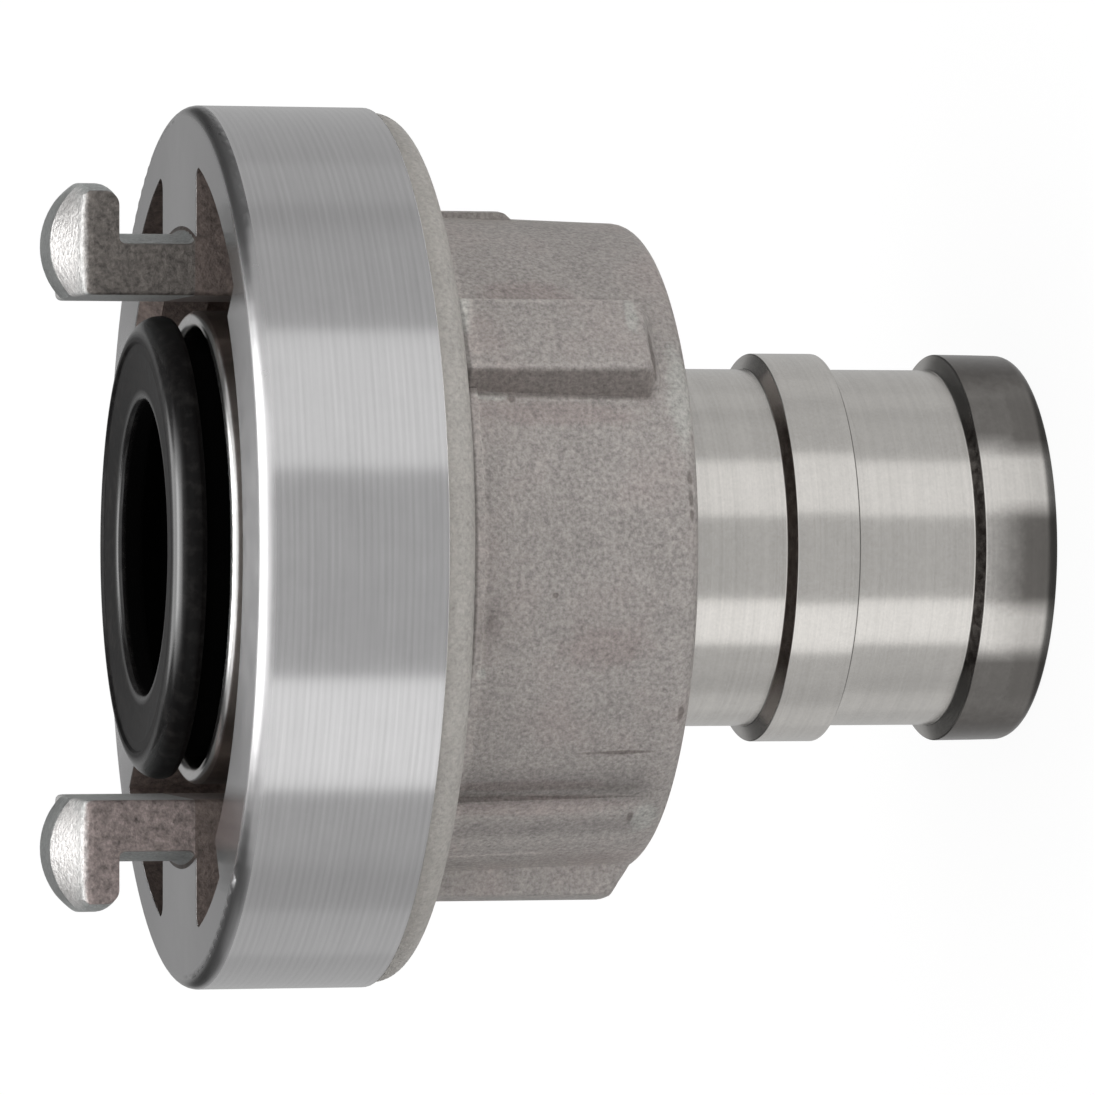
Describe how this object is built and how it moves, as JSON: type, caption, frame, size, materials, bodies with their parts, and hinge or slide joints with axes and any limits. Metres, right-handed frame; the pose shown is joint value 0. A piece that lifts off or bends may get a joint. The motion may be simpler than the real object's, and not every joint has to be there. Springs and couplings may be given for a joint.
{
  "type": "quarter turn fire hose coupling",
  "caption": "Quarter turn fire hose coupling half: aluminium ring with hooked lugs that turns on a ridged hose tail, with a rubber lip seal in the tail's front cup.",
  "frame": {"origin": "centre of the hose tail's end face, on which the coupling stands", "axes": "+Z along the coupling's axis from the hose tail to the lugs; +X through the lug at +X and -X through the other"},
  "size_m": [0.055, 0.055, 0.062],
  "materials": {
    "cast_aluminium": "sand cast, machined on the band, front face and hooks",
    "turned_aluminium": "turned satin",
    "seal_rubber": "semi-gloss moulded",
    "spring_wire": "drawn spring wire",
    "slip_plastic": "plain moulded"
  },
  "bodies": {
    "tail": {"hose_tail": "turned_aluminium", "lip_seal": "seal_rubber"},
    "ring": {"lug_ring": "cast_aluminium", "slip_ring": "slip_plastic", "retaining_ring": "spring_wire"}
  },
  "joints": [
    {"name": "ring_swivel", "type": "hinge", "parent": "tail", "child": "ring", "pos_m": [0, 0, 0.04], "axis": [0, 0, 1], "continuous": true}
  ]
}
